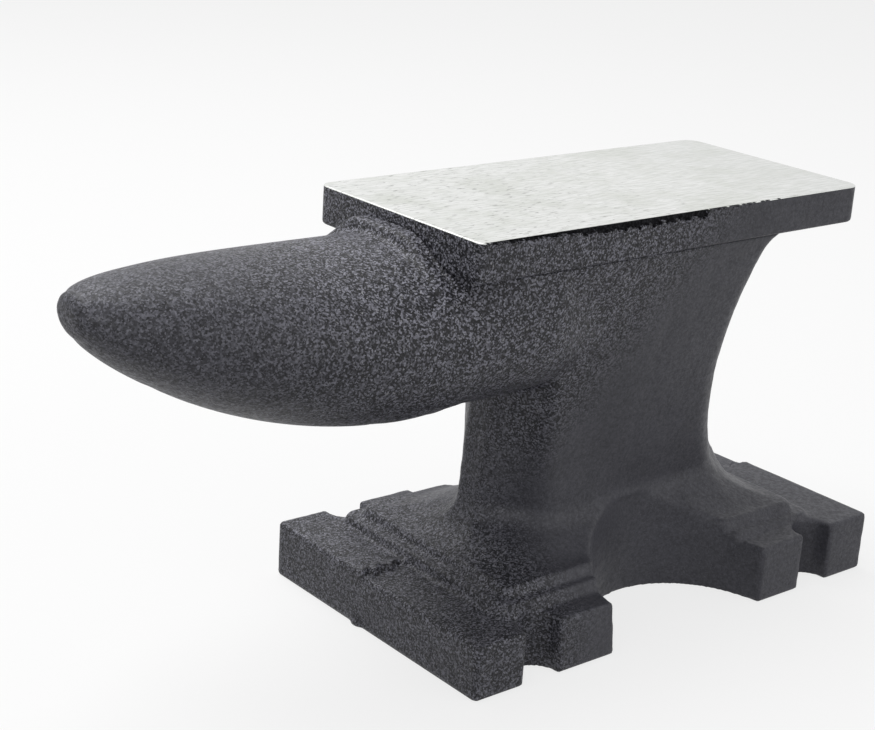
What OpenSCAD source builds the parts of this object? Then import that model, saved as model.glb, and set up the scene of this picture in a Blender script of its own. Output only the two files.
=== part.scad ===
// Small bench anvil: one iron casting with a ground face, cut along its natural lines.
// X runs along the anvil with the horn at -X, Z is up, and the origin is the middle of
// the foot's underside.

/* [Foot] */
// Length of the foot along the anvil
foot_l = 146; // [130:1:170]
// Width of the foot across the anvil
foot_w = 85; // [78:1:100]
// Height of the foot's square edge
foot_h = 15.5; // [10:0.5:22]
// Radius of the foot's upright corners
foot_corner_r = 1.5; // [1:0.5:5]
// Length of the flat ledge at each end of the foot
end_ledge_l = 14.5; // [10:0.5:17]
// Width of the flat ledge along each side of the foot
side_ledge_w = 7.75; // [6:0.25:9]

/* [Terraces] */
// Height of one of the two terraces on the foot
terrace_h = 2.5; // [1.5:0.25:4]
// Depth of the terraces' tread
terrace_tread = 3.5; // [2:0.25:4]
// Lean of a terrace's riser
terrace_draft = 0.6; // [0.2:0.1:1.2]
// Radius of the terraces' upright corners
terrace_r = 4; // [2:0.5:6]

/* [Bolt notches] */
// Width of a bolt notch
notch_w = 11.5; // [8:0.5:14]
// Depth of a bolt notch, in from the side of the foot
notch_depth = 7.7; // [6:0.1:7.7]
// Distance between the two notches on one side
notch_pitch = 103; // [92:1:112]

/* [Side scallops] */
// Radius of the round hollow in each side of the foot
scallop_r = 28.5; // [20:0.5:32]
// Depth of the hollow, in from the side of the foot
scallop_depth = 26.5; // [18:0.5:27]

/* [Shoulder] */
// Height of the slope between the terraces and the waist
shoulder_h = 7.5; // [5:0.5:12]
// Flat margin between the upper terrace's edge and the slope
shoulder_margin = 0.8; // [0.4:0.1:2]
// How fast the slope steepens towards the waist
shoulder_power = 1.5; // [1.2:0.1:2.5]

/* [Waist] */
// Height of the waist from the shoulder to the body
waist_h = 33.5; // [24:0.5:44]
// Width of the waist where it leaves the shoulder
waist_w = 32; // [26:1:38]
// Distance from the middle to the narrow front edge of the waist
waist_front = 42.5; // [38:0.5:45]
// Width of the flat strip on the waist's front and rear edges
strip_w = 8.6; // [6:0.2:12]
// Length of the bevelled facet in front, at the foot of the waist
front_facet_l = 13; // [9:0.5:16]
// How much shorter that facet is where it meets the body
facet_gain = 6; // [2:0.5:8]
// Distance from the middle to the rear facet at the waist's narrowest point
rear_neck = 25.6; // [20:0.1:28]
// Height of that narrowest point above the shoulder
rear_neck_h = 40; // [30:1:48]
// Radius of the long hollow curve of the rear facet
rear_curve_r = 95; // [80:1:140]
// Length of the bevelled facet at the rear
rear_facet_l = 12; // [8:0.5:15]
// Rounding of the waist's upright corners
corner_soft = 3; // [1:0.5:4]

/* [Body] */
// Height of the body from the top of the waist to the face plate
body_h = 40.5; // [34:0.5:48]
// Width of the body under the face plate and of the horn's root
body_w = 62; // [54:1:64]
// How the sides swell from the waist to the face plate
flank_power = 1.35; // [1:0.05:1.8]
// Radius of the fillet under the overhanging heel
heel_fillet_r = 3.5; // [2:0.5:6]

/* [Horn] */
// Length of the horn's taper
horn_l = 89; // [75:1:105]
// Height of the horn at its root
horn_d = 44.3; // [42:0.1:50]
// Height of the horn's underside above the top of the waist
throat_rise = 0.5; // [0.5:0.5:4]
// Rise of the horn's centre line at the tip
horn_rise = 15.8; // [10:0.2:20]
// Fullness of the horn's taper
horn_power = 2.15; // [1.8:0.05:2.6]
// Sharpness of the horn's taper
horn_sharp = 0.626; // [0.55:0.01:0.75]
// Share of the taper where the blunt nose begins
nose_start = 0.93; // [0.88:0.01:0.96]
// Length of the blunt nose
nose_l = 4.6; // [3:0.2:9]

/* [Table ledge] */
// Height of the ledge at the horn's root above the underside of the face plate
ledge_h = 6.6; // [5.5:0.1:8]
// Length of the ledge along the anvil
ledge_l = 4.6; // [3:0.2:7]
// Width of the ledge across its top
ledge_w = 27; // [20:1:34]
// Spread of each sloping side of the ledge
ledge_spread = 5; // [2:0.5:8]
// Rounding of the ledge's upper corners
ledge_r = 2.5; // [1:0.25:3]

/* [Face plate] */
// Length of the face plate
plate_l = 135.5; // [125:0.5:150]
// Width of the face plate
plate_w = 64; // [64:1:72]
// Thickness of the face plate
plate_h = 10; // [8:0.5:14]
// Distance from the middle of the foot to the horn end of the face plate
plate_front = 72; // [66:0.5:76]
// Radius of the face plate's corners at the heel
heel_corner_r = 4.5; // [2:0.5:8]
// Radius of the face plate's corners at the horn
horn_corner_r = 2.5; // [0.5:0.25:4]
// Bevel along the underside of the face plate
plate_bevel = 1; // [0.5:0.25:1.5]

/* [Hidden] */
iron = [0.27, 0.27, 0.29];
ground_iron = [0.80, 0.81, 0.78];
round_fn = 96;
eps = 0.01;
beyond = 1;

// Levels of the joints between the pieces
terrace_count = 2;
terraces_z = foot_h + terrace_count * terrace_h;
shoulder_z = terraces_z + shoulder_h;
body_z = shoulder_z + waist_h;
plate_z = body_z + body_h;
horn_z = body_z + throat_rise + horn_d / 2;
horn_w = body_w;

// Places of the notches and hollows in plan
notch_r = notch_w / 2;
notch_y = foot_w / 2 - notch_depth + notch_r;
scallop_y = foot_w / 2 - scallop_depth + scallop_r;

// Half sizes of the upper terrace's flat top
top_terrace_l = foot_l / 2 - end_ledge_l - terrace_tread - terrace_draft;
top_terrace_w = foot_w / 2 - side_ledge_w - terrace_tread - terrace_draft;

// Steps in which the curved surfaces are built
shoulder_rings = 9;
waist_rings = 12;
body_rings = 14;
bulge_rings = 12;
bulge_points = 24;
horn_rings = 18;
nose_rings = 5;
horn_points = 36;
corner_steps = 3;

function mix(a, b, t) = a + (b - a) * t;
function ease(t) = t * t * (3 - 2 * t);

// Half width of the sides at a height, from the shoulder to the face plate
function flank(z) =
    mix(waist_w / 2, body_w / 2, pow((z - shoulder_z) / (plate_z - shoulder_z), flank_power));

// Distance from the middle to the front facet's corner at a height
function front_corner(z) =
    min(waist_front - 1, waist_front - front_facet_l + facet_gain * (z - shoulder_z) / waist_h);

// Distance from the middle to the rear facet's corner at a height
function rear_corner(z) =
    let (curve_z = z - shoulder_z - rear_neck_h)
    let (fillet_z = max(0, z - (plate_z - heel_fillet_r)))
    rear_neck + rear_curve_r - sqrt(pow(rear_curve_r, 2) - pow(curve_z, 2))
        + heel_fillet_r - sqrt(max(0, pow(heel_fillet_r, 2) - pow(fillet_z, 2)));

// Eight-sided outline of the waist and body at a height, horn side first
function waist_outline(z) =
    let (front = waist_front, rear = rear_corner(z), strip = strip_w / 2, side = flank(z))
    [[-front, strip], [-front, -strip], [-front_corner(z), -side], [rear, -side],
     [rear + rear_facet_l, -strip], [rear + rear_facet_l, strip],
     [rear, side], [-front_corner(z), side]];

// Eight-sided outline of the slope's lower edge on the upper terrace
function terrace_outline() =
    let (l = top_terrace_l - shoulder_margin, w = top_terrace_w - shoulder_margin)
    [[-l, w - terrace_r], [-l, terrace_r - w], [terrace_r - l, -w], [l - terrace_r, -w],
     [l, terrace_r - w], [l, w - terrace_r], [l - terrace_r, w], [terrace_r - l, w]];

// A point on the curve that rounds the corner b between its neighbours a and c
function corner_point(a, b, c, r, t) =
    let (ab = norm(a - b), cb = norm(c - b))
    let (start = b + (a - b) / ab * min(r, ab * 0.45))
    let (end = b + (c - b) / cb * min(r, cb * 0.45))
    mix(mix(start, b, t), mix(b, end, t), t);

// An outline with its corners rounded, lifted to a height
function soft_ring(outline, r, z) =
    let (n = len(outline))
    [for (i = [0 : n - 1], k = [0 : corner_steps])
        let (p = corner_point(outline[(i + n - 1) % n], outline[i], outline[(i + 1) % n],
                              r, k / corner_steps))
        [p[0], p[1], z]];

function waist_ring(z) = soft_ring(waist_outline(z), corner_soft, z);

// Outline of the slope at a share u of the way from the terrace to the waist
function shoulder_ring(u) =
    let (low = terrace_outline(), high = waist_outline(shoulder_z))
    soft_ring([for (i = [0 : len(low) - 1]) mix(low[i], high[i], u)], corner_soft,
              mix(terraces_z, shoulder_z, pow(u, shoulder_power)));

// Upright ring across the anvil: round below, straight sides up to the face plate
function bulge_ring(x, half_w) =
    [each [for (i = [0 : bulge_points])
        let (a = -180 * i / bulge_points)
        [x, half_w * cos(a), horn_z + horn_d / 2 * sin(a)]],
     [x, -half_w, plate_z], [x, half_w, plate_z]];

// Size of the horn's section at a share t of its taper, against the root
function horn_size(t) = pow(1 - pow(t, horn_power), horn_sharp);

// Elliptical ring of the horn at a share t of its taper
function horn_ring(x, t, size) =
    [for (i = [0 : horn_points - 1])
        let (a = -360 * i / horn_points)
        [x, horn_w / 2 * size * cos(a),
         horn_z + horn_rise * t * t + horn_d / 2 * size * sin(a)]];

// Closed solid through a row of rings that all have the same number of points
module loft(rings) {
    n = len(rings[0]);
    last = (len(rings) - 1) * n;
    polyhedron(
        points = [for (ring = rings) each ring],
        faces = [
            [for (i = [0 : n - 1]) i],
            [for (i = [n - 1 : -1 : 0]) last + i],
            for (r = [0 : len(rings) - 2], i = [0 : n - 1])
                let (j = (i + 1) % n, low = r * n, high = low + n)
                each [[low + i, high + i, high + j], [low + i, high + j, low + j]]
        ]);
}

// Flat rectangle centred on the origin, with round corners
module round_rectangle(l, w, r) {
    square([l - 2 * r, w], center = true);
    square([l, w - 2 * r], center = true);
    for (x = [-1, 1], y = [-1, 1])
        translate([x * (l / 2 - r), y * (w / 2 - r)]) circle(r, $fn = round_fn);
}

// One terrace: its riser leans inward from the given half sizes
module terrace(half_l, half_w) {
    hull() {
        linear_extrude(eps) round_rectangle(2 * half_l, 2 * half_w, terrace_r, $fn = 32);
        translate([0, 0, terrace_h - eps]) linear_extrude(eps)
            round_rectangle(2 * (half_l - terrace_draft), 2 * (half_w - terrace_draft), terrace_r);
    }
}

// Bolt notch open to the side, with a round back
module notch() {
    translate([0, 0, -beyond]) cylinder(h = terraces_z + 2 * beyond, r = notch_r, $fn = round_fn);
    translate([-notch_r, 0, -beyond]) cube([notch_w, foot_w / 2, terraces_z + 2 * beyond]);
}

module foot() color(iron) difference() {
    union() {
        linear_extrude(foot_h) round_rectangle(foot_l, foot_w, foot_corner_r);
        translate([0, 0, foot_h])
            terrace(foot_l / 2 - end_ledge_l, foot_w / 2 - side_ledge_w);
        translate([0, 0, foot_h + terrace_h])
            terrace(foot_l / 2 - end_ledge_l - terrace_tread,
                    foot_w / 2 - side_ledge_w - terrace_tread);
        loft([for (i = [0 : shoulder_rings]) shoulder_ring(i / shoulder_rings)]);
    }
    for (side = [0, 1]) mirror([0, side, 0]) {
        translate([0, scallop_y, -beyond])
            cylinder(h = shoulder_z + 2 * beyond, r = scallop_r, $fn = round_fn);
        for (x = [-1, 1]) translate([x * notch_pitch / 2, notch_y, 0]) notch();
    }
}

module waist() color(iron)
    loft([for (i = [0 : waist_rings]) waist_ring(mix(shoulder_z, body_z, i / waist_rings))]);

module body() color(iron) {
    loft([for (i = [0 : body_rings]) waist_ring(mix(body_z, plate_z, i / body_rings))]);
    // The swelling behind the horn, which sinks into the flanks towards the middle
    loft([for (i = [bulge_rings : -1 : 0])
        let (t = i / bulge_rings)
        bulge_ring(mix(-plate_front, -waist_front / 2, t),
                   mix(horn_w / 2, flank(horn_z) - 1, ease(max(0, 2 * t - 1))))]);
}

module horn_form() {
    nose_x = nose_start * horn_l;
    nose_size = horn_size(nose_start);
    loft([
        for (i = [0 : horn_rings])
            let (t = nose_start * i / horn_rings)
            horn_ring(-plate_front - t * horn_l, t, horn_size(t)),
        for (i = [1 : nose_rings])
            let (a = 75 * i / nose_rings)
            horn_ring(-plate_front - nose_x - nose_l * sin(a), nose_start, nose_size * cos(a))
    ]);
}

module horn() color(iron) horn_form();

// End view of the ledge, standing on the underside level of the face plate
module ledge_profile(inset) {
    hull() {
        translate([-ledge_w / 2 - ledge_spread, -ledge_r])
            square([ledge_w + 2 * ledge_spread, ledge_r]);
        for (side = [-1, 1])
            translate([side * (ledge_w / 2 - ledge_r), ledge_h - ledge_r])
                circle(ledge_r - inset, $fn = 32);
    }
}

module table_ledge() color(iron) difference() {
    translate([-plate_front, 0, plate_z]) rotate([90, 0, -90]) hull() {
        linear_extrude(ledge_l - 1) ledge_profile(0);
        linear_extrude(ledge_l) ledge_profile(1);
    }
    horn_form();
}

// Cutter for the bevel along an underside edge of the given length
module bevel_cut(l) {
    rotate([45, 0, 0])
        cube([l, plate_bevel * sqrt(2), plate_bevel * sqrt(2)], center = true);
}

module face_plate() color(ground_iron) difference() {
    translate([0, 0, plate_z]) linear_extrude(plate_h) difference() {
        translate([-plate_front, -plate_w / 2]) square([plate_l, plate_w]);
        for (side = [-1, 1]) {
            corner_cut(-plate_front, side, horn_corner_r, 1);
            corner_cut(plate_l - plate_front, side, heel_corner_r, -1);
        }
    }
    for (side = [-1, 1])
        translate([plate_l / 2 - plate_front, side * plate_w / 2, plate_z])
            bevel_cut(plate_l + 2 * beyond);
    translate([plate_l - plate_front, 0, plate_z]) rotate([0, 0, 90])
        bevel_cut(plate_w + 2 * beyond);
}

// Waste outside a round corner of the face plate, at its end x; inward points to the middle
module corner_cut(x, side, r, inward) {
    translate([x + inward * r, side * (plate_w / 2 - r)])
        difference() {
            translate([inward < 0 ? 0 : -r - beyond, side < 0 ? -r - beyond : 0])
                square(r + beyond);
            circle(r, $fn = round_fn);
        }
}

foot();
waist();
body();
horn();
table_ledge();
face_plate();
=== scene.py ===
import bpy
import numpy as np
from mathutils import Matrix, Vector


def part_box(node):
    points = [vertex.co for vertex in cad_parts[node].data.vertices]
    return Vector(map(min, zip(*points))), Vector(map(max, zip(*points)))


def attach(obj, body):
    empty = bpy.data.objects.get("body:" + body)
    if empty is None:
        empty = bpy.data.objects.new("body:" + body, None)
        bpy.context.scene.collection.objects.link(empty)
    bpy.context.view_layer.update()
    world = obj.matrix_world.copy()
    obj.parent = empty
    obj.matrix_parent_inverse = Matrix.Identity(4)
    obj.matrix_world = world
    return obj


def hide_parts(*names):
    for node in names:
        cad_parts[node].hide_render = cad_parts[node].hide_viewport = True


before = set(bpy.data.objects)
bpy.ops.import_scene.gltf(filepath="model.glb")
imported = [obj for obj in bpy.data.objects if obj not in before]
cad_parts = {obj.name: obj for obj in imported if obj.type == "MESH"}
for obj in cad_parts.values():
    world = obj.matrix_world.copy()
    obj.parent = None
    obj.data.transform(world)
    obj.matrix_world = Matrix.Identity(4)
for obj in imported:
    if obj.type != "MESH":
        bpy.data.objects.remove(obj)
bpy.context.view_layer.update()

# The camera stands off the horn's near side and a little above the face.
# Its place is in metres, and its axes point right, up and back.
camera_place = (-0.3342, -0.3304, 0.2180)
camera_right = (0.7766, -0.6271, 0.0612)
camera_up = (0.1581, 0.2880, 0.9445)
camera_back = (-0.6099, -0.7238, 0.3228)
camera_data = bpy.data.cameras.new("camera")
camera_data.lens = 74.74
camera_data.sensor_width = 36
camera_data.clip_start = 0.01
camera = bpy.data.objects.new("camera", camera_data)
camera.matrix_world = Matrix.LocRotScale(
    Vector(camera_place),
    Matrix((camera_right, camera_up, camera_back)).transposed().to_quaternion(),
    None)
bpy.context.scene.collection.objects.link(camera)
bpy.context.scene.camera = camera
bpy.context.scene.view_settings.view_transform = "Standard"


# The studio is a white floor that runs out of sight under a white sky.
# Three soft lamps light it: a broad one overhead and weaker ones beside it and off the horn.
def feed(tree, socket, value):
    """Set a socket to a constant, or link another node's socket to it."""
    if isinstance(value, bpy.types.NodeSocket):
        tree.links.new(value, socket)
    else:
        socket.default_value = value


def wire(tree, kind, **values):
    """A new node whose inputs are set by name, from values or from other nodes' sockets."""
    node = tree.nodes.new(kind)
    for name, value in values.items():
        feed(tree, node.inputs[name.replace("_", " ")], value)
    return node


def maths(tree, operation, *values):
    """The result of a Math node on numbers or other nodes' sockets."""
    node = tree.nodes.new("ShaderNodeMath")
    node.operation = operation
    for socket, value in zip(node.inputs, values):
        feed(tree, socket, value)
    return node.outputs[0]


def ramp(tree, value, low, high, at_low=0.0, at_high=1.0):
    """A smooth change from one number to another while a value goes from low to high."""
    node = wire(tree, "ShaderNodeMapRange", Value=value, From_Min=low, From_Max=high,
                To_Min=at_low, To_Max=at_high)
    node.interpolation_type = "SMOOTHSTEP"
    return node.outputs["Result"]


def mixed(tree, factor, first, second):
    """The colour between two colours at a factor."""
    node = tree.nodes.new("ShaderNodeMix")
    node.data_type = "RGBA"
    sockets = (node.inputs["Factor"], node.inputs[6], node.inputs[7])
    for socket, value in zip(sockets, (factor, first, second)):
        feed(tree, socket, value)
    return node.outputs[2]


def new_material(name):
    """A material with an empty node tree and its output node."""
    material = bpy.data.materials.new(name)
    material.use_nodes = True
    material.node_tree.nodes.clear()
    return material, material.node_tree, material.node_tree.nodes.new("ShaderNodeOutputMaterial")


def seen_directly(tree):
    """One for the rays that show the background: the camera's, and those in metal and glass."""
    path = tree.nodes.new("ShaderNodeLightPath").outputs
    mirrored = maths(tree, "MAXIMUM", path["Is Glossy Ray"], path["Is Transmission Ray"])
    return maths(tree, "MAXIMUM", path["Is Camera Ray"], mirrored)


floor_half, floor_glow = 6.0, 0.76
floor_mesh = bpy.data.meshes.new("floor")
floor_mesh.from_pydata(
    [(-floor_half, -floor_half, 0), (floor_half, -floor_half, 0),
     (floor_half, floor_half, 0), (-floor_half, floor_half, 0)], [], [(0, 1, 2, 3)])
floor = bpy.data.objects.new("floor", floor_mesh)
bpy.context.scene.collection.objects.link(floor)
floor_paint, tree, out = new_material("floor_paint")
glow = wire(tree, "ShaderNodeEmission", Color=(1, 1, 1, 1), Strength=seen_directly(tree))
paint = wire(tree, "ShaderNodeBsdfDiffuse", Color=(0.86, 0.86, 0.86, 1))
both = tree.nodes.new("ShaderNodeMixShader")
both.inputs[0].default_value = floor_glow
tree.links.new(paint.outputs[0], both.inputs[1])
tree.links.new(glow.outputs[0], both.inputs[2])
tree.links.new(both.outputs[0], out.inputs["Surface"])
floor_mesh.materials.append(floor_paint)

sky_shown, sky_lit = 1.0, 0.4
sky = bpy.data.worlds.new("sky")
sky.use_nodes = True
tree = sky.node_tree
tree.nodes.clear()
shown = wire(tree, "ShaderNodeBackground", Color=(1, 1, 1, 1), Strength=sky_shown)
lit = wire(tree, "ShaderNodeBackground", Color=(1, 1, 1, 1), Strength=sky_lit)
choice = tree.nodes.new("ShaderNodeMixShader")
tree.links.new(seen_directly(tree), choice.inputs[0])
tree.links.new(lit.outputs[0], choice.inputs[1])
tree.links.new(shown.outputs[0], choice.inputs[2])
out = tree.nodes.new("ShaderNodeOutputWorld")
tree.links.new(choice.outputs[0], out.inputs["Surface"])
bpy.context.scene.world = sky


anvil_middle = Vector((0, 0, 0.07))


def soft_lamp(name, place, size, power):
    """A square area lamp that points at the middle of the anvil."""
    data = bpy.data.lights.new(name, "AREA")
    data.size = size
    data.energy = power
    lamp = bpy.data.objects.new(name, data)
    lamp.location = place
    lamp.rotation_mode = "QUATERNION"
    lamp.rotation_quaternion = (Vector(place) - anvil_middle).to_track_quat("Z", "Y")
    bpy.context.scene.collection.objects.link(lamp)


soft_lamp("overhead", (-0.2, 0.4, 1.0), 0.9, 9.0)
soft_lamp("camera_side", (0.5, -1.1, 0.5), 0.8, 2.2)
soft_lamp("horn_side", (-1.0, -0.7, 0.3), 0.8, 2.6)

# The casting is one piece of sand-cast iron: foot, waist, body, horn and table ledge.
# It is shaped here as one solid whose forms run into each other with the fillets that a
# pattern maker gives them, so no joint shows where the model's pieces meet.
foot_l, foot_w, foot_h = 146, 85, 15.5
plate_front, plate_z = 72, 102
terrace_h, terrace_tread = 2.5, 3.5
end_ledge_l, side_ledge_w = 14.5, 7.75
terraces_z = foot_h + 2 * terrace_h
shoulder_z = 28
notch_r, notch_y, notch_pitch = 5.75, 40.55, 103
scallop_r, scallop_y = 28.5, 44.5
waist_front, strip_half, strip_lean = 42.5, 4.3, 2.3
waist_half_w, flank_gain, flank_curve = 16, 15, 1.35
rear_reach, rear_hollow_r, rear_hollow_z, heel_lip_r = 26.0, 95, 68, 4.5
front_reach, near_facet_gain, rear_facet_l = 29.5, 6, 12
horn_l, horn_w, horn_d, horn_z, horn_rise = 89, 62, 44.3, 84.15, 15.8
taper_power, size_power = 2.15, 0.626
nose_x, nose_groove_x, nose_groove_depth = -159.2, -156.4, 0.35
belly_narrowing = 5.5
ledge_top, ledge_low, ledge_l = 109.0, 97, 4.6
ledge_near_y, ledge_near_steepness = 9.5, 1.40
ledge_far_y, ledge_far_steepness = 12.3, 1.26
parting_y, shift_at_horn, shift_at_heel = 5.0, 0.9, 1.5
scar_end, scar_r = -58, 0.9
flash_y, flash_r = 6, 1.1
terrace_lean, slope_rise, slope_power = 0.24, 7.5, 1.5
slope_half_l, slope_half_w = 53.4, 29.8
far_off = 99


def blend_in(a, b, r):
    """Union of two forms with a fillet of about r between them."""
    h = np.clip(0.5 + 0.5 * (b - a) / r, 0, 1)
    return b + (a - b) * h - r * h * (1 - h)


def cut_out(a, b, r):
    """The part of form a outside form b, with the edge between them eased by about r."""
    return -blend_in(-a, b, r)


def both_in(a, b, r):
    """The part shared by two forms, with the edge between them eased by about r."""
    return -blend_in(-a, -b, r)


def gradual(value, low, high):
    """A smooth step from 0 at low to 1 at high."""
    t = np.clip((value - low) / (high - low), 0, 1)
    return t * t * (3 - 2 * t)


def block(x, y, z, half_l, half_w, low, high, corner_r, edge_r):
    """A rectangular block on the centre lines, with round upright corners and eased edges."""
    dx = np.abs(x) - (half_l - corner_r)
    dy = np.abs(y) - (half_w - corner_r)
    plan = np.hypot(np.maximum(dx, 0), np.maximum(dy, 0))
    plan = plan + np.minimum(np.maximum(dx, dy), 0) - corner_r
    rise = np.abs(z - (low + high) / 2) - (high - low) / 2
    a, b = plan + edge_r, rise + edge_r
    return np.hypot(np.maximum(a, 0), np.maximum(b, 0)) + np.minimum(np.maximum(a, b), 0) - edge_r


def flank(z):
    """Half width of the waist and body at a height."""
    rise = np.clip((z - shoulder_z) / (plate_z - shoulder_z), 0, 1)
    return waist_half_w + flank_gain * rise ** flank_curve


def rear_corner(z):
    """Distance from the middle to the corner of the rear facet at a height."""
    from_middle = np.clip(z - rear_hollow_z, -60, 60)
    curve = rear_reach + rear_hollow_r - np.sqrt(rear_hollow_r ** 2 - from_middle ** 2)
    over = np.clip(z - (plate_z - heel_lip_r), 0, heel_lip_r)
    return curve + heel_lip_r - np.sqrt(heel_lip_r ** 2 - over ** 2 + 1e-6)


def column(x, y, z):
    """The eight-sided waist and body, endless in height; only the near facet turns outward."""
    side = flank(z)
    strip_x = waist_front - strip_lean * gradual(z, 30, 64)
    outward = np.where(y < 0, near_facet_gain, 0) * (z - shoulder_z) / 34
    front = np.minimum(strip_x - 1, front_reach + outward)
    rear = rear_corner(z)
    across = np.abs(y)
    front_facet = (-x - front) * (side - strip_half) + (across - side) * (strip_x - front)
    front_facet = front_facet / np.hypot(strip_x - front, side - strip_half)
    rear_facet = (x - rear) * (side - strip_half) + (across - side) * rear_facet_l
    rear_facet = rear_facet / np.hypot(rear_facet_l, side - strip_half)
    form = both_in(across - side, front_facet, 4)
    form = both_in(form, rear_facet, 4)
    form = both_in(form, -x - strip_x, 0.8)
    return both_in(form, x - rear - rear_facet_l, 0.8)


def oval(y, z, half_w, half_h):
    """Nearly the distance to an ellipse, also where its two half sizes differ much."""
    k0 = np.hypot(y / half_w, z / half_h)
    k1 = np.hypot(y / half_w ** 2, z / half_h ** 2) + 1e-6
    return k0 * (k0 - 1) / k1


def root_rise(x):
    """How far the horn's root rises above its straight line before it meets the waist."""
    return 1.3 * gradual(x, -82, -58)


def horn(x, y, z):
    """The tapering horn, with a shallow ring behind its flattened nose."""
    t = np.clip((-plate_front - x) / horn_l, 0, 0.985)
    size = (1 - t ** taper_power) ** size_power
    middle_z = horn_z + horn_rise * t * t + root_rise(x)
    round_form = oval(y, z - middle_z, horn_w / 2 * size, horn_d / 2 * size)
    groove = nose_groove_depth * np.exp(-((x - nose_groove_x) / 0.9) ** 2)
    round_form = round_form - 0.5 * gradual(-x, 138, 157) + groove
    return np.maximum(both_in(round_form, nose_x - x, 1.8), x + plate_front - 1)


def belly(x, y, z):
    """The body behind the horn: round below, fading into straight flanks above and behind."""
    half_w = horn_w / 2 - belly_narrowing * gradual(x, -46, -22)
    low = oval(y, z - horn_z - root_rise(x), half_w, horn_d / 2)
    straight = np.where(z > horn_z, np.abs(y) - half_w, low)
    straightened = gradual(x, -75, -56)
    form = low * (1 - straightened) + straight * straightened
    return np.maximum(np.maximum(form, -plate_front - x), x + 20)


def ledge(x, y, z):
    """The raised lip on the horn's root, with a wide slope on its near side."""
    near = (-y - ledge_near_y) + (z - ledge_top) * ledge_near_steepness
    far = (y - ledge_far_y) + (z - ledge_top) * ledge_far_steepness
    near = near / np.hypot(1, ledge_near_steepness)
    form = both_in(near, far / np.hypot(1, ledge_far_steepness), 1.0)
    form = both_in(form, z - ledge_top, 2.0)
    form = both_in(form, np.abs(x + plate_front) - ledge_l, 1.6)
    return np.maximum(form, ledge_low - z)


def soft_noise(x, y, z, size, seed):
    """Smooth random swells of about the given size, mostly between -1 and 1."""
    draw = np.random.RandomState(seed)
    total = 0
    for _ in range(7):
        way = draw.normal(size=3)
        way = way / np.linalg.norm(way) * draw.uniform(0.7, 1.5) * 2 * np.pi / size
        total = total + np.sin(x * way[0] + y * way[1] + z * way[2] + draw.uniform(0, 6.28))
    return total / 4


def casting_form(x, y, z):
    """Roughly the distance to the casting's surface in millimetres, below zero inside the iron."""
    across = np.abs(y)
    # The two halves of the mould did not quite meet, so the near half of the foot is tilted
    ragged = parting_y + 0.9 * np.sin(x * 1.3) + 0.6 * np.sin(x * 3.1 + 1)
    shift = np.where(x < 0, shift_at_horn, shift_at_heel) * x / (foot_l / 2)
    shift = shift * (1 - gradual(y, ragged - 0.5, ragged + 0.5))
    settled = z - np.clip(z / foot_h, 0, 1) * shift
    form = block(x, y, settled, foot_l / 2, foot_w / 2, 0, foot_h, 1.3, 0.9)
    scar = np.hypot(y - ragged, (z - foot_h + 0.1) * 1.2) - scar_r
    scar = scar + 3 * np.maximum(-foot_l / 2 - x, 0) + np.maximum(x - scar_end, 0)
    form = blend_in(form, scar, 0.8)
    flash = (x + foot_l / 2 - 0.3) ** 2 + ((y - flash_y) / 1.8) ** 2 + ((z - 1) / 1.5) ** 2
    flash = np.sqrt(flash) - flash_r
    form = blend_in(form, flash, 0.8)
    for step in (1, 2):
        inset = terrace_tread * (step - 1)
        lean = terrace_lean * (z - foot_h - terrace_h * (step - 1))
        half_l = foot_l / 2 - end_ledge_l - inset - lean
        half_w = foot_w / 2 - side_ledge_w - inset - lean
        terrace = block(x, y, z, half_l, half_w, 0, foot_h + terrace_h * step, 4, 0.9)
        form = blend_in(form, terrace, 1.4)
    # The slope rises from the upper terrace to the waist, ever steeper
    from_waist = np.maximum(column(x, y, shoulder_z), 0.01)
    from_edge = -block(x, y, 0, slope_half_l, slope_half_w, -far_off, far_off, 5, 0.1)
    share = np.clip(from_edge / (from_edge + from_waist), 0, 1)
    slope = (z - terraces_z - slope_rise * share ** slope_power) * 0.85
    form = blend_in(form, np.maximum(np.maximum(slope, -from_edge), 5 - z), 1.0)
    pillar = np.maximum(column(x, y, z), np.maximum(z - plate_z, foot_h - z))
    form = blend_in(form, pillar, 4.0)
    upper = blend_in(horn(x, y, z), belly(x, y, z), 0.6)
    upper = np.maximum(upper, np.where(x > -plate_front, z - plate_z, -far_off))
    form = blend_in(form, upper, 1.8)
    form = blend_in(form, ledge(x, y, z), 2.0)
    form = np.maximum(form, np.where(x > -plate_front, z - plate_z, -far_off))
    # The hollows in the sides and the bolt notches
    draft = np.clip(1 - z / foot_h, 0, 1)
    hollow = np.hypot(x - 0.4 - draft, across - scallop_y + draft) - scallop_r + draft
    hollow = hollow + 1.5 * np.maximum(z - shoulder_z, 0)
    form = cut_out(form, hollow, 1.0)
    beside = np.abs(np.abs(x) - notch_pitch / 2)
    notch = np.where(across > notch_y, beside, np.hypot(beside, across - notch_y)) - notch_r
    form = cut_out(form, notch + np.maximum(z - 24, 0), 1.0)
    return form


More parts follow.
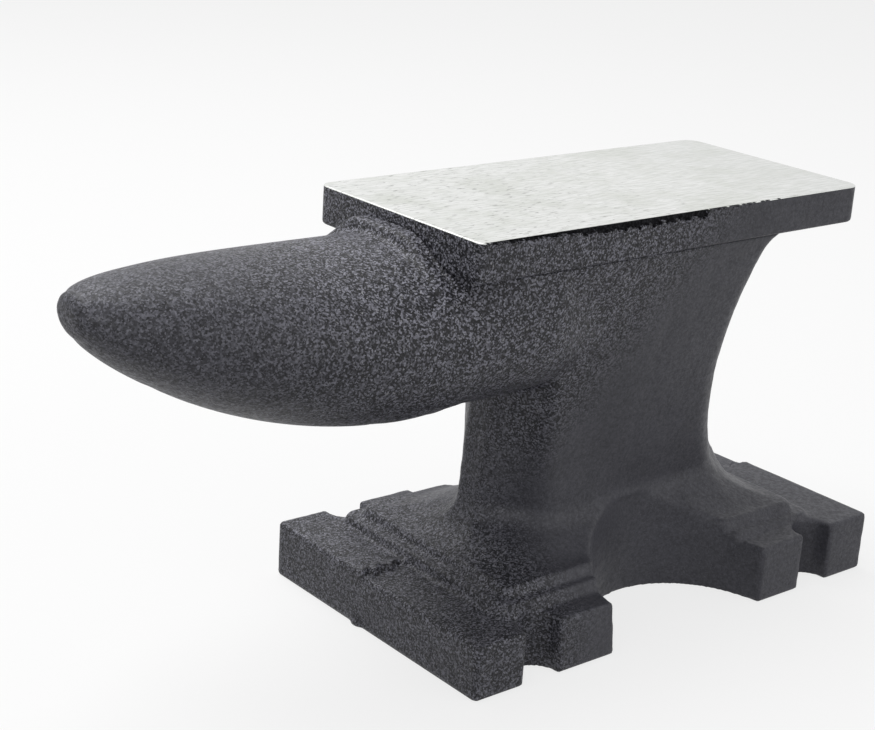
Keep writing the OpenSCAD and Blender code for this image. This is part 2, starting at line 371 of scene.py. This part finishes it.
def surface_of(form, low, high, step):
    """Vertices and quads of the surface where form is zero, found on a grid of cubes."""
    nudge_l = 0.05
    axes = [np.arange(a, b + step, step) for a, b in zip(low, high)]
    grid = form(axes[0][:, None, None], axes[1][None, :, None], axes[2][None, None, :])
    inside = grid < 0
    shape = np.array(grid.shape)
    total = np.zeros((*shape, 3), np.float32)
    count = np.zeros(shape, np.int32)
    edges = []
    for axis in range(3):
        near = [slice(None)] * 3
        far = [slice(None)] * 3
        near[axis], far[axis] = slice(None, -1), slice(1, None)
        crossing = np.argwhere(inside[tuple(near)] != inside[tuple(far)])
        along = np.eye(3, dtype=int)[axis]
        a = grid[tuple(crossing.T)]
        b = grid[tuple((crossing + along).T)]
        point = crossing + along * (a / (a - b))[:, None]
        first, second = (np.eye(3, dtype=int)[k] for k in range(3) if k != axis)
        cells = [crossing, crossing - first, crossing - first - second, crossing - second]
        for cell in cells:
            np.add.at(total, tuple(cell.T), point)
            np.add.at(count, tuple(cell.T), 1)
        edges.append((cells, inside[tuple(crossing.T)] == (axis != 1)))
    used = np.argwhere(count > 0)
    number = np.full(shape, -1, np.int64)
    number[tuple(used.T)] = np.arange(len(used))
    points = total[tuple(used.T)] / count[tuple(used.T)][:, None] * step + np.array(low)
    quads = []
    for cells, outward in edges:
        quad = np.stack([number[tuple(cell.T)] for cell in cells], 1)
        quads.append(np.where(outward[:, None], quad, quad[:, ::-1]))
    # Three steps along the slope set the vertices on the surface itself
    for _ in range(3):
        value = form(*points.T)
        nudged = [form(*(points + nudge).T) for nudge in np.eye(3) * nudge_l]
        slope = np.stack([(other - value) / nudge_l for other in nudged], 1)
        move = slope * (value / np.maximum((slope ** 2).sum(1), 0.05))[:, None]
        size = np.linalg.norm(move, axis=1, keepdims=True)
        points = points - move * np.minimum(1, 0.4 * step / np.maximum(size, 1e-9))
    points[:, 2] = np.maximum(points[:, 2], 0)
    return points, np.concatenate(quads)


grid_low, grid_high, grid_step = (-164, -45, -2), (75, 45, 111), 0.9
cast_points, cast_quads = surface_of(casting_form, grid_low, grid_high, grid_step)
# Foundry unevenness: long swells, and short ones that are strongest at the horn end
horn_end = 1 - gradual(cast_points[:, 0] - 0.73 * (cast_points[:, 2] - 60), -36, -16)
swell = 0.16 * soft_noise(*cast_points.T, 17, 3) + 0.06 * soft_noise(*cast_points.T, 5, 8)
swell = swell + (0.02 + 0.05 * horn_end) * soft_noise(*cast_points.T, 2.6, 5)
cast_mesh = bpy.data.meshes.new("casting")
cast_mesh.from_pydata((cast_points * 0.001).tolist(), [], cast_quads.tolist())
normals = np.zeros(len(cast_points) * 3, np.float32)
cast_mesh.vertices.foreach_get("normal", normals)
normals = normals.reshape(-1, 3)
# The swells only hollow the surface, and fade out at the sole and under the face plate
calm = np.clip((cast_points[:, 2] - 0.3) / 3, 0, 1)
calm = calm * np.clip((plate_z - cast_points[:, 2]) / 3, 0, 1)
swell = np.minimum(swell, 0) * calm
moved = (cast_points + normals * swell[:, None]) * 0.001
cast_mesh.vertices.foreach_set("co", moved.astype(np.float32).ravel())
cast_mesh.shade_smooth()
cast_mesh.update()
casting = bpy.data.objects.new("casting", cast_mesh)
bpy.context.scene.collection.objects.link(casting)


def sand_coat_group():
    """Charcoal coat over sand-cast iron, coarse at the horn end and smoother behind."""
    group = bpy.data.node_groups.new("sand_coat", "ShaderNodeTree")
    group.interface.new_socket("Dark", in_out="INPUT", socket_type="NodeSocketColor")
    group.interface.new_socket("Light", in_out="INPUT", socket_type="NodeSocketColor")
    group.interface.new_socket("Grains per metre", in_out="INPUT", socket_type="NodeSocketFloat")
    group.interface.new_socket("Color", in_out="OUTPUT", socket_type="NodeSocketColor")
    group.interface.new_socket("Roughness", in_out="OUTPUT", socket_type="NodeSocketFloat")
    group.interface.new_socket("Height", in_out="OUTPUT", socket_type="NodeSocketFloat")
    given = group.nodes.new("NodeGroupInput")
    result = group.nodes.new("NodeGroupOutput")
    place = group.nodes.new("ShaderNodeTexCoord").outputs["Object"]
    apart = wire(group, "ShaderNodeSeparateXYZ", Vector=place)
    # The coarse sand ends further back near the face than low on the waist
    behind = maths(group, "MULTIPLY_ADD", apart.outputs["Z"], -0.73, apart.outputs["X"])
    coarse = ramp(group, behind, -0.095, -0.057, 1.0, 0.0)
    coarse = maths(group, "MAXIMUM", coarse, ramp(group, apart.outputs["X"], -0.052, -0.030, 0.60, 0.0))
    at_nose = ramp(group, apart.outputs["X"], -0.130, -0.080, 0.35, 1.0)
    coarse = maths(group, "MULTIPLY", coarse, at_nose)
    cells = wire(group, "ShaderNodeTexVoronoi", Vector=place, Scale=given.outputs["Grains per metre"])
    grain = wire(group, "ShaderNodeSeparateColor", Color=cells.outputs["Color"])
    grain = maths(group, "SUBTRACT", maths(group, "POWER", grain.outputs["Red"], 2.0), 0.32)
    contrast = maths(group, "MULTIPLY_ADD", coarse, 1.25, 0.10)
    lumps = wire(group, "ShaderNodeTexNoise", Vector=place, Scale=850.0, Detail=2.0, Roughness=0.6)
    patches = wire(group, "ShaderNodeTexNoise", Vector=place, Scale=70.0, Detail=4.0, Roughness=0.6)
    lump_share = maths(group, "MULTIPLY_ADD", coarse, 0.25, 0.22)
    share = maths(group, "MULTIPLY_ADD", grain, contrast, 0.20)
    lump = maths(group, "MULTIPLY", maths(group, "SUBTRACT", lumps.outputs["Fac"], 0.5), lump_share)
    share = maths(group, "ADD", share, lump)
    patch = maths(group, "MULTIPLY", maths(group, "SUBTRACT", patches.outputs["Fac"], 0.5), 0.16)
    share = maths(group, "ADD", share, patch)
    tone = mixed(group, share, given.outputs["Dark"], given.outputs["Light"])
    sparks = wire(group, "ShaderNodeTexNoise", Vector=place, Scale=1300.0, Detail=1.0)
    spark = ramp(group, sparks.outputs["Fac"], 0.68, 0.76)
    spark = maths(group, "MULTIPLY", spark, maths(group, "MULTIPLY_ADD", coarse, 0.9, 0.1))
    spark_grey = (0.30, 0.30, 0.32, 1)
    tone = mixed(group, spark, tone, spark_grey)
    group.links.new(tone, result.inputs["Color"])
    group.links.new(ramp(group, lumps.outputs["Fac"], 0.3, 0.7, 0.56, 0.42), result.inputs["Roughness"])
    relief = maths(group, "MULTIPLY", lumps.outputs["Fac"], maths(group, "MULTIPLY_ADD", coarse, 0.8, 0.2))
    group.links.new(relief, result.inputs["Height"])
    return group


sand_coat = sand_coat_group()


def coat_on(tree):
    """The coat's group, placed in a material with the anvil's tones and grain."""
    coat = tree.nodes.new("ShaderNodeGroup")
    coat.node_tree = sand_coat
    coat.inputs["Dark"].default_value = (0.006, 0.006, 0.008, 1)
    coat.inputs["Light"].default_value = (0.265, 0.265, 0.312, 1)
    coat.inputs["Grains per metre"].default_value = 2500
    return coat


def coated(name):
    """The coat as a material: dull, dark, with the sand's relief."""
    material, tree, out = new_material(name)
    grain = coat_on(tree)
    relief = wire(tree, "ShaderNodeBump", Strength=0.8, Distance=0.0006, Height=grain.outputs["Height"])
    skin = wire(tree, "ShaderNodeBsdfPrincipled", Base_Color=grain.outputs["Color"],
                Roughness=grain.outputs["Roughness"], Specular_IOR_Level=0.3, Normal=relief.outputs["Normal"])
    tree.links.new(skin.outputs[0], out.inputs["Surface"])
    return material


cast_mesh.materials.append(coated("charcoal_coat"))
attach(casting, "root")
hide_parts("foot", "waist", "body", "horn", "table_ledge")

# The face plate is the top of the same casting, 10 mm thick: its upper side is ground bright.
# Its edges keep the coat, and the grinding chipped the coat off the near edge, which left a broken
# recess under the face. The recess is coloured near black: dark bare iron with the recess's shade painted in.
plate_low, plate_high = (corner * 1000 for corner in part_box("face_plate"))
plate_h = plate_high.z - plate_low.z
heel_r, near_front_r, far_front_r = 4.5, 1.5, 3.9
chip_in, point_gap = 0.8, 0.6
chip_places = (-70.7, -60.5, -41.5, -39.6, 1.8, 3.3, 15.2, 37.0, 38.0)
chip_depths = (0.25, 0.8, 1.0, 1.6, 1.9, 0.35, 0.3, 0.15, 0.0)


def chip_depth(x):
    """How far below the face the near edge is chipped, at a place along it."""
    ragged = 0.28 * np.sin(x * 1.1) + 0.22 * np.sin(x * 2.7 + 2) + 0.16 * np.sin(x * 5.3 + 1)
    return max(0.0, np.interp(x, chip_places, chip_depths, left=0.0, right=0.0) * (1 + ragged * 0.8))


# Each corner has its place, its radius and the angle where its arc starts
corners = [(plate_high.x, plate_high.y, heel_r, 0), (plate_low.x, plate_high.y, far_front_r, 90),
           (plate_low.x, plate_low.y, near_front_r, 180), (plate_high.x, plate_low.y, heel_r, 270)]
outline = []
for x, y, r, start in corners:
    middle = np.array([x - np.sign(x) * r, y - np.sign(y) * r])
    for angle in np.radians(np.linspace(start, start + 90, 9)):
        way = np.array([np.cos(angle), np.sin(angle)])
        outline.append((middle + r * way, way))
    if start == 180:
        near_run = np.arange(plate_low.x + near_front_r + point_gap, plate_high.x - heel_r, point_gap)
        outline += [(np.array([run, plate_low.y]), np.array([0.0, -1.0])) for run in near_run]
# Each row of the edge lies so far in from the outline, and so far above the plate's underside
rows = [(1.0, 0.0), (0.45, 0.15), (0.1, 0.5), (0.0, 1.1), (0.0, 6.5)]
rows += [(0.0, rise) for rise in np.arange(7.2, 9.7, 0.2)]
rows += [(0.0, 9.75), (0.1, 9.93), (0.3, 10.0)]
plate_points = []
for inset, rise in rows:
    for point, way in outline:
        below = plate_h - rise
        on_near = way[1] < -0.99
        chipped = on_near and 0.0 < below < chip_depth(point[0])
        depth = max(inset, chip_in * min(1, below / 0.15)) if chipped else inset
        plate_points.append((*(point - way * depth) * 0.001, (plate_low.z + rise) * 0.001))
n = len(outline)
plate_faces = [(r * n + i, r * n + (i + 1) % n, (r + 1) * n + (i + 1) % n, (r + 1) * n + i)
               for r in range(len(rows) - 1) for i in range(n)]
plate_faces.append(tuple(reversed(range(n))))
plate_faces.append(tuple(range((len(rows) - 1) * n, len(rows) * n)))
plate_mesh = bpy.data.meshes.new("ground_face_plate")
plate_mesh.from_pydata(plate_points, [], plate_faces)
plate = bpy.data.objects.new("ground_face_plate", plate_mesh)
bpy.context.scene.collection.objects.link(plate)

ground, tree, out = new_material("ground_iron")
place = tree.nodes.new("ShaderNodeTexCoord").outputs["Object"]
apart = wire(tree, "ShaderNodeSeparateXYZ", Vector=place)
along = wire(tree, "ShaderNodeMapping", Vector=place, Rotation=(0, 0, 0.22), Scale=(170.0, 1500.0, 1.0))
streaks = wire(tree, "ShaderNodeTexNoise", Vector=along.outputs[0], Scale=1.0, Detail=4.0, Roughness=0.65)
clouds = wire(tree, "ShaderNodeTexNoise", Vector=place, Scale=60.0, Detail=6.0, Roughness=0.65)
slanted = wire(tree, "ShaderNodeMapping", Vector=place, Rotation=(0, 0, 0.42), Scale=(330.0, 1400.0, 1.0))
nicks = wire(tree, "ShaderNodeTexNoise", Vector=slanted.outputs[0], Scale=1.0, Detail=2.0)
dull_iron, bright_iron, stained_iron = (0.53, 0.54, 0.52, 1), (0.79, 0.795, 0.785, 1), (0.50, 0.52, 0.47, 1)
nicked_iron, rear_iron = (0.20, 0.20, 0.19, 1), (0.58, 0.59, 0.58, 1)
bright = mixed(tree, ramp(tree, streaks.outputs["Fac"], 0.3, 0.7), dull_iron, bright_iron)
cloud = ramp(tree, clouds.outputs["Fac"], 0.42, 0.72, 0.0, 0.55)
bright = mixed(tree, cloud, bright, stained_iron)
nick = ramp(tree, nicks.outputs["Fac"], 0.60, 0.70)
nick = maths(tree, "MULTIPLY", nick, ramp(tree, apart.outputs["X"], -0.05, 0.03, 0.85, 0.15))
bright = mixed(tree, nick, bright, nicked_iron)
bright = mixed(tree, ramp(tree, apart.outputs["X"], 0.0, 0.062, 0.0, 0.35), bright, rear_iron)
scratch = wire(tree, "ShaderNodeBump", Strength=0.25, Distance=0.0001, Height=streaks.outputs["Fac"])
dullness = ramp(tree, streaks.outputs["Fac"], 0.3, 0.7, 0.5, 0.32)
shine = wire(tree, "ShaderNodeBsdfPrincipled", Base_Color=bright, Metallic=1.0,
             Roughness=dullness, Normal=scratch.outputs["Normal"])
tree.links.new(shine.outputs[0], out.inputs["Surface"])
# The chipped recess's material: dark bare iron darkened to near black with painted shade of the recess
chipped_recess_shade, tree, out = new_material("chipped_iron_painted_shade")
place = tree.nodes.new("ShaderNodeTexCoord").outputs["Object"]
broken = wire(tree, "ShaderNodeTexNoise", Vector=place, Scale=1500.0, Detail=3.0)
painted_shade_black, shaded_bare_iron = (0.004, 0.004, 0.005, 1), (0.035, 0.035, 0.04, 1)
dark = mixed(tree, ramp(tree, broken.outputs["Fac"], 0.4, 0.75), painted_shade_black, shaded_bare_iron)
dullness = ramp(tree, broken.outputs["Fac"], 0.3, 0.7, 0.9, 0.7)
rough = wire(tree, "ShaderNodeBump", Strength=0.8, Distance=0.0003, Height=broken.outputs["Fac"])
skin = wire(tree, "ShaderNodeBsdfPrincipled", Base_Color=dark, Roughness=dullness,
            Specular_IOR_Level=0.1, Normal=rough.outputs["Normal"])
tree.links.new(skin.outputs[0], out.inputs["Surface"])
for material in (coated("edge_coat"), ground, chipped_recess_shade):
    plate_mesh.materials.append(material)
for face in plate_mesh.polygons:
    middle = face.center * 1000
    below = plate_high.z - middle.z
    on_near = middle.y < plate_low.y + 1 and face.normal.z < 0.9
    face.use_smooth = len(face.vertices) == 4 and not on_near
    if below < 0.2:
        face.material_index = 1
    # The chipped recess's faces take the near-black material, whose colour holds painted shade
    elif on_near and below < chip_depth(middle.x) + 0.15:
        face.material_index = 2
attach(plate, "root")
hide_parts("face_plate")
